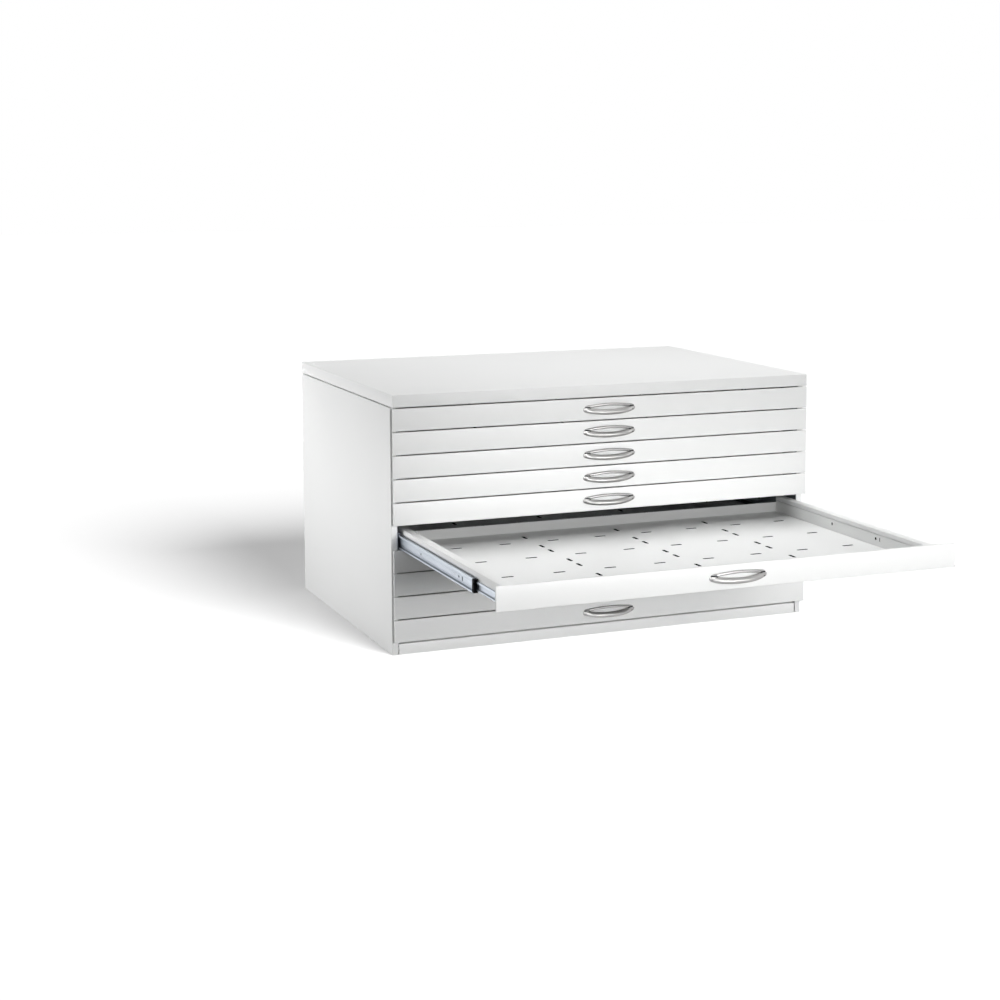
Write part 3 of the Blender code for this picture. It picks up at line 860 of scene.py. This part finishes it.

# Handles
# A die-cast grip, plated and satin finished: an almond-shaped ring that bows off the front, broad and full
# below, thin above, with a lens-shaped eye and a narrow notch at each upper corner. The screws sit behind
# the notches, in feet coloured black as painted shade, so that the notches read dark.

GRIP_LENGTH = 0.168
GRIP_HEIGHT = 0.031
GRIP_END = 0.015
GRIP_FULLNESS = 24
GRIP_THICKNESS = 0.0032
GRIP_REACH = 0.019
GRIP_RIM_REACH = 0.009
GRIP_FOOT = 0.009
GRIP_BOW = 3.2
GRIP_CROWN = 0.0032
GRIP_EDGE = 0.0011
GRIP_CORNER = math.radians(50)
GRIP_FACETS = 96
GRIP_RINGS = 7
EYE_LENGTH = 0.136
EYE_HEIGHT = 0.0125
EYE_RISE = 0.0040
NOTCH_HEIGHT = 0.0038
NOTCH_START = (0.064, 0.0072)
NOTCH_END = (0.088, 0.0046)
FOOT_SPAN = (0.062, 0.0805)
FOOT_TOP = 0.0070
FOOT_BOTTOM = -0.0060
FOOT_EDGE = 0.0020
FOOT_TUCK = 0.00112
SATIN_COLOUR = (0.375, 0.372, 0.366)
SATIN_SHADE = (0.31, 0.307, 0.302)
SATIN_ROUGHNESS = 0.34
SATIN_METAL = 0.9
SATIN_GRAIN = 0.0005
GRAIN_GLOSS = 0.12
GRAIN_DEPTH = 0.00002
GRAIN_STRENGTH = 0.2
BUFFED_SIZE = 0.012
BUFFED_SHARE = 0.6
BUFFED_GLOSS = 0.08


def satin_metal(name):
    """Matt chrome over a casting: a fine, even grain without direction."""
    material, shader, place = finish(name, SATIN_COLOUR, SATIN_ROUGHNESS, SATIN_METAL)
    buffed = place.noise(BUFFED_SIZE, detail=3.0)
    grain = place.noise(SATIN_GRAIN)
    roughness = grain.around(SATIN_ROUGHNESS, GRAIN_GLOSS) + buffed.around(0, BUFFED_GLOSS)
    place.plug(shader, "Base Color", buffed.blended(grain, BUFFED_SHARE).between(SATIN_SHADE, SATIN_COLOUR))
    place.plug(shader, "Roughness", roughness)
    place.plug(shader, "Normal", grain.raised(GRAIN_STRENGTH, GRAIN_DEPTH))
    return material


def almond_point(turn, length, height, end, fullness):
    """The point of an almond outline at a turn from its right end, as (x, z)."""
    along = math.cos(turn)
    half = (end + (height - end) * (1 - along**2)) / 2
    half *= (1 - abs(along) ** fullness) ** 0.5 if fullness else 1
    return length / 2 * along, math.copysign(half, math.sin(turn))


def grip_reach(x, z):
    """How far the grip's back stands off the front."""
    along = min(1, abs(x) / (GRIP_LENGTH / 2 - GRIP_FOOT))
    rise = min(1, max(0, (z + GRIP_HEIGHT / 4) / (GRIP_HEIGHT / 2)))
    full = GRIP_REACH + (GRIP_RIM_REACH - GRIP_REACH) * rise
    return (full - GRIP_THICKNESS) * (1 - along**GRIP_BOW)


satin_grip = satin_metal("satin metal")

low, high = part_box("handle_01")
centre = (low.z + high.z) / 2
# The ring starts as a flat washer, from 0.5 to 1 across, and is then laid out between eye and edge.
bpy.ops.object.select_all(action="DESELECT")
bpy.ops.mesh.primitive_circle_add(vertices=GRIP_FACETS, radius=1.0)
grip = bpy.context.object
bpy.ops.object.mode_set(mode="EDIT")
bpy.ops.mesh.select_all(action="DESELECT")
bpy.ops.mesh.primitive_circle_add(vertices=GRIP_FACETS, radius=0.5)
bpy.ops.mesh.select_all(action="SELECT")
bpy.ops.mesh.bridge_edge_loops(number_cuts=GRIP_RINGS, interpolation="LINEAR")
bpy.ops.object.mode_set(mode="OBJECT")
for vert in grip.data.vertices:
    turn = math.atan2(vert.co.y, vert.co.x)
    inward = min(1, max(0, 2 - 2 * math.hypot(vert.co.x, vert.co.y)))
    edge_x, edge_z = almond_point(turn, GRIP_LENGTH, GRIP_HEIGHT, GRIP_END, GRIP_FULLNESS)
    eye_x, eye_z = almond_point(turn, EYE_LENGTH, EYE_HEIGHT, 0, 0)
    x = edge_x + (eye_x - edge_x) * inward
    z = edge_z + (eye_z + EYE_RISE - edge_z) * inward
    crown = GRIP_CROWN * (1 - (2 * inward - 1) ** 2)
    vert.co = (x, high.y - grip_reach(x, z) + GRIP_CROWN - crown - GRIP_THICKNESS / 2, centre + z)
bpy.ops.object.mode_set(mode="EDIT")
bpy.ops.mesh.select_all(action="SELECT")
bpy.ops.mesh.normals_make_consistent(inside=False)
bpy.ops.object.mode_set(mode="OBJECT")
modify(grip, "SOLIDIFY", thickness=GRIP_THICKNESS, offset=0)

notches = []
painted_shade_feet = []
for side in (-1, 1):
    start, end = ((side * x, centre + z) for x, z in (NOTCH_START, NOTCH_END))
    slope = math.atan2(end[1] - start[1], end[0] - start[0])
    bpy.ops.object.select_all(action="DESELECT")
    bpy.ops.mesh.primitive_cube_add(
        size=1, location=((start[0] + end[0]) / 2, high.y - GRIP_REACH / 2, (start[1] + end[1]) / 2),
        rotation=(0, -slope, 0), scale=(math.dist(start, end), 2 * GRIP_REACH, NOTCH_HEIGHT),
    )
    bpy.ops.object.transform_apply(location=True, rotation=True, scale=True)
    edit_edges(lambda middle, run, faces: abs(run.y) > ALONG)
    fold_radius(NOTCH_HEIGHT * ROUND_END, segments=4)
    notches.append(bpy.context.object)
    near, far = sorted(side * x for x in FOOT_SPAN)
    foot = new_box(
        "foot", (near, high.y - GRIP_THICKNESS, centre + FOOT_BOTTOM), (far, high.y, centre + FOOT_TOP)
    )
    for vert in foot.data.vertices:
        if vert.co.y < high.y - TINY:
            vert.co.y = high.y - grip_reach(vert.co.x, vert.co.z - centre) - FOOT_TUCK
    edit_edges(lambda middle, run, faces: abs(run.y) > ALONG)
    fold_radius(FOOT_EDGE)
    # Black as painted shade: the feet show only through the notches, which should read dark.
    foot.data.materials.append(black_plastic_and_shade)
    painted_shade_feet.append(foot)
punch(grip, *notches, solver="MANIFOLD")
modify(grip, "BEVEL", width=GRIP_EDGE, segments=2, limit_method="ANGLE", angle_limit=GRIP_CORNER)
grip.data.materials.clear()  # the cut leaves an empty place for a finish
grip.data.materials.append(satin_grip)
join(grip, *painted_shade_feet)
fit_drawers(grip, "grip", "drawer", "handle", "silver_handle")

# Studio
# A white floor without an edge, and a camera where the photograph was taken. Soft lamps stand in front, at
# both sides, above and behind. Some light only the open tray or the grips, as in a retouched picture, and
# the floor has a sun of its own, so that it takes a single soft shadow.

AMBIENT = 0.1
FLOOR_SIZE = 60
FLOOR_SEEN = 0.4
FLOOR_FELT = 0.08
FLOOR_GLOW = 0.40
FLOOR_ROUGHNESS = 0.9
SHADOW_TURN = 15.2
SHADOW_CLIMB = 29.8
SHADOW_SOFTNESS = 29
SHADOW_POWER = 9.8
LENS = 68.129
CAMERA_PLACE = (-2.3178, -5.5534, 1.4315)
CAMERA_TURN = (83.2627, 0, -23.0499)
CAMERA_SHIFT = (-0.06, -0.12)
FRONT_MIDDLE = (0, -0.48, 0.3)
TRAY = ["tray_steel_06"]
GRIPS = [f"grip_{number:02d}" for number in range(1, DRAWERS + 1)]
LAMPS = (  # each: name, place, aim, size, spread, power, pieces, and whether it lights only these
    ("far front", (2.0, -9.0, 2.0), FRONT_MIDDLE, (3.0, 1.6), 180, 105, TRAY, "EXCLUDE"),
    ("upper front", (1.0, -4.6, 1.55), (0.15, -0.9, 0.3), (2.4, 0.8), 40, 5.3, TRAY, "EXCLUDE"),
    ("lower front", (0.4, -4.0, 0.75), (0, -0.5, 0.15), (3.0, 0.4), 30, 3.6, TRAY, "EXCLUDE"),
    ("left low", (-3.0, 0.6, 0.25), (-0.675, 0, 0.45), (1.5, 0.4), 180, 44, [], "EXCLUDE"),
    ("left pool", (-2.9, 0.1, 0.4), (-0.675, 0.05, 0.43), (1.6, 0.2), 30, 0.42, [], "EXCLUDE"),
    ("right", (4.4, -0.6, 1.4), (0, -0.3, 0.4), (2.0, 2.0), 180, 67, [], "EXCLUDE"),
    ("overhead", (0.2, 0.3, 4.2), (0, -0.3, 0.4), (2.0, 2.0), 180, 78, [], "EXCLUDE"),
    ("lid", (-0.1, 0.2, 2.2), (-0.1, 0.1, 0.7), (1.2, 0.8), 180, 3, [], "EXCLUDE"),
    ("rear", (0, 5.2, 0.42), (0, 0.48, 0.42), (1.2, 0.5), 180, 140, [], "EXCLUDE"),
    ("tray", (0.2, 0.3, 3.0), (0.1, -0.9, 0.4), (2.4, 1.2), 180, 30, TRAY, "INCLUDE"),
    ("tray wall", (0.5, -7.0, 1.0), (0, -0.4, 0.4), (1.0, 0.3), 180, 75, TRAY, "INCLUDE"),
    ("grips", (-2.3, -4.2, 0.5), (0, -0.5, 0.45), (0.8, 1.0), 180, 72, GRIPS, "INCLUDE"),
)


def seen_directly(wire):
    """1 for a ray from the camera, or one that a gloss or glass sends on, and otherwise 0."""
    camera, glossy, glass = (
        wire.node("LightPath", output=f"Is {kind} Ray") for kind in ("Camera", "Glossy", "Transmission")
    )
    return wire.maths("MAXIMUM", wire.maths("MAXIMUM", camera, glossy), glass)


def group_of(name, pieces, state):
    """A set of objects that a lamp lights or is shaded by alone (INCLUDE), or not at all (EXCLUDE)."""
    made = bpy.data.collections.new(name)
    for piece in pieces:
        made.objects.link(piece)
    for entry in made.collection_objects:
        entry.light_linking.link_state = state
    return made


def hang_lamp(name, kind, place, aim, power, pieces, state):
    """A lamp turned to a point, that lights these pieces alone (INCLUDE) or all but these (EXCLUDE)."""
    lamp = bpy.data.lights.new(name, kind)
    lamp.energy = power
    made = bpy.data.objects.new(name, lamp)
    made.location = place
    made.rotation_euler = (Vector(aim) - Vector(place)).to_track_quat("-Z", "Y").to_euler()
    made.light_linking.receiver_collection = group_of(f"{name} on", pieces, state)
    made.visible_camera = False
    bpy.context.scene.collection.objects.link(made)
    return made


bpy.ops.object.select_all(action="DESELECT")
bpy.ops.mesh.primitive_plane_add(size=FLOOR_SIZE, location=(0, 0, 0))
ground = bpy.context.object
ground.name = "studio_floor"
paper, shader, wire = finish("studio floor", (1, 1, 1), FLOOR_ROUGHNESS)
shader.inputs["Specular IOR Level"].default_value = 0
shader.inputs["Emission Color"].default_value = (1, 1, 1, 1)
seen = seen_directly(wire)
wire.plug(shader, "Base Color", seen.between([FLOOR_FELT] * 3, [FLOOR_SEEN] * 3))
wire.plug(shader, "Emission Strength", seen * FLOOR_GLOW)
ground.data.materials.append(paper)

world = bpy.data.worlds.new("studio")
bpy.context.scene.world = world
world.use_nodes = True
wire = Wire(world.node_tree)
backdrop = world.node_tree.nodes["Background"]
backdrop.inputs["Color"].default_value = (1, 1, 1, 1)
wire.plug(backdrop, "Strength", seen_directly(wire) * (1 - AMBIENT) + AMBIENT)

for name, place, aim, size, spread, power, pieces, state in LAMPS:
    linked = [bpy.data.objects[piece] for piece in pieces] + [ground] * (state == "EXCLUDE")
    softbox = hang_lamp(name, "AREA", place, aim, power, linked, state).data
    softbox.shape = "RECTANGLE"
    softbox.size, softbox.size_y = size
    softbox.spread = math.radians(spread)

turn, climb = math.radians(SHADOW_TURN), math.radians(SHADOW_CLIMB)
place = (math.sin(turn) * math.cos(climb), -math.cos(turn) * math.cos(climb), math.sin(climb))
floor_lamp = hang_lamp("floor", "SUN", place, (0, 0, 0), SHADOW_POWER, [ground], "INCLUDE")
floor_lamp.data.angle = math.radians(SHADOW_SOFTNESS)
open_drawer = [piece for piece in bpy.data.objects if piece.get("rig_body") in ("drawer_06", "slides_06")]
floor_lamp.light_linking.blocker_collection = group_of("no floor shadow", open_drawer, "EXCLUDE")

lens = bpy.data.cameras.new("camera")
lens.lens = LENS
lens.shift_x, lens.shift_y = CAMERA_SHIFT
camera = bpy.data.objects.new("camera", lens)
camera.location = CAMERA_PLACE
camera.rotation_euler = [math.radians(angle) for angle in CAMERA_TURN]
bpy.context.scene.collection.objects.link(camera)
bpy.context.scene.camera = camera
bpy.context.scene.view_settings.view_transform = "Standard"
